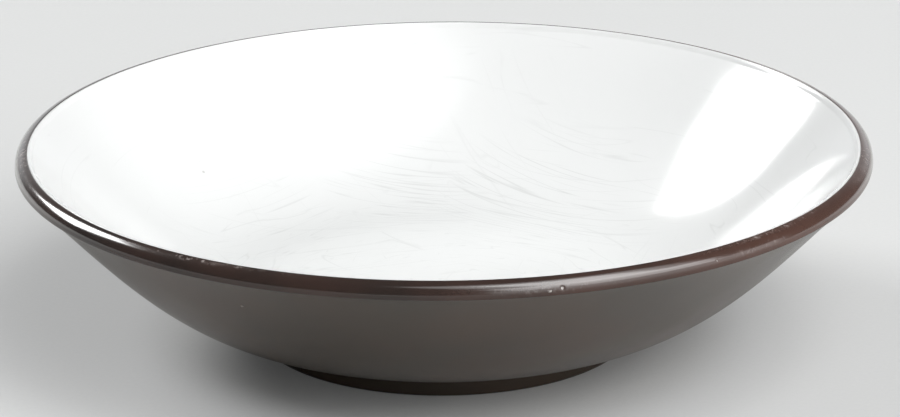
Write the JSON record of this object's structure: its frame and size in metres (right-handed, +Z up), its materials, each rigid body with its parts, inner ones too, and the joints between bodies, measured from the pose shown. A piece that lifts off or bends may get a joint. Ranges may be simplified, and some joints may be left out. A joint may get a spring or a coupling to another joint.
{
  "type": "sauce bowl",
  "caption": "Shallow round two-tone moulded sauce bowl: brown outer shell with rounded rim and foot ring, white lining bonded inside it.",
  "frame": {"origin": "centre of the foot ring's standing face, on the table", "axes": "+Z up along the bowl's axis of symmetry; X and Y are free, as the bowl is round"},
  "size_m": [0.14, 0.14, 0.033],
  "materials": {
    "brown_shell": "satin moulded melamine, polished on the rim",
    "white_lining": "gloss moulded melamine with fine use scratches"
  },
  "bodies": {
    "root": {"outer_shell": "brown_shell", "inner_lining": "white_lining"}
  },
  "joints": []
}
